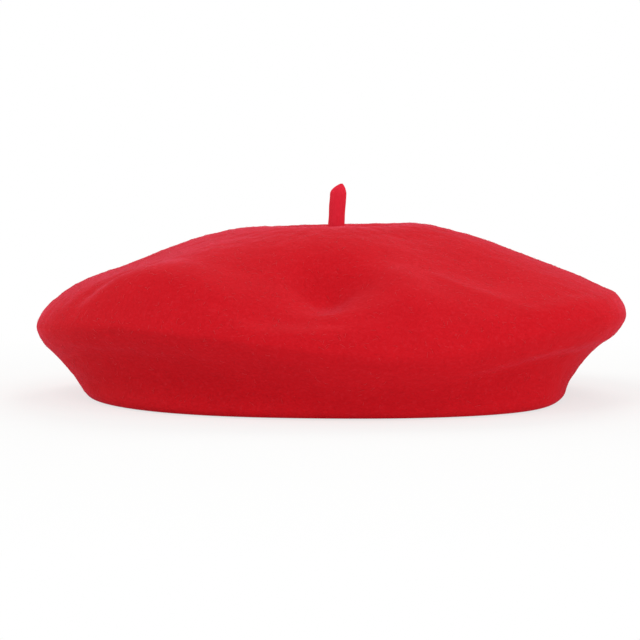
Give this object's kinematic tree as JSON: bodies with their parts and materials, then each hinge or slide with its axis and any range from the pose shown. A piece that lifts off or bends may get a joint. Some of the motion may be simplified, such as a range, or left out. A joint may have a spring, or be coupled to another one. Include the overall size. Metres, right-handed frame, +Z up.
{
  "type": "beret",
  "caption": "Round red wool felt beret with a soft rounded edge, a turned-in hem with a sewn ribbon sweatband, and a short felt stem that bends at the middle of the crown.",
  "frame": {"origin": "middle of the head opening, on the plane that the rim rests on", "axes": "+Z up through the crown, -Y towards the side that the picture shows, +X to the right in the picture"},
  "size_m": [0.259, 0.259, 0.0929],
  "materials": {
    "wool_felt": "matt felt with a short nap",
    "grosgrain_ribbon": "ribbed weave with a low sheen",
    "sewing_thread": "twisted thread"
  },
  "bodies": {
    "hat_body": {"felt_crown": "wool_felt", "sweatband": "grosgrain_ribbon", "sweatband_thread": "sewing_thread", "sweatband_lap_tack": "sewing_thread"},
    "crown_centre": {"stem_tack": "sewing_thread"},
    "stem_root": {"stem_root": "wool_felt"},
    "stem": {"stem": "wool_felt"}
  },
  "joints": [
    {"name": "crown_press", "type": "slide", "parent": "hat_body", "child": "crown_centre", "axis": [0, 0, -1], "range_m": [0, 0.045], "stiffness_N_per_m": 30, "deforming": ["felt_crown", "sweatband", "sweatband_thread", "sweatband_lap_tack"]},
    {"name": "stem_rock", "type": "hinge", "parent": "crown_centre", "child": "stem_root", "pos_m": [0.0022, 0, 0.0729], "axis": [1, 0, 0], "range_deg": [-60, 60], "stiffness_Nm_per_rad": 0.0005},
    {"name": "stem_lean", "type": "hinge", "parent": "stem_root", "child": "stem", "pos_m": [0.0022, 0, 0.0729], "axis": [0, 1, 0], "range_deg": [-60, 60], "stiffness_Nm_per_rad": 0.0005}
  ]
}
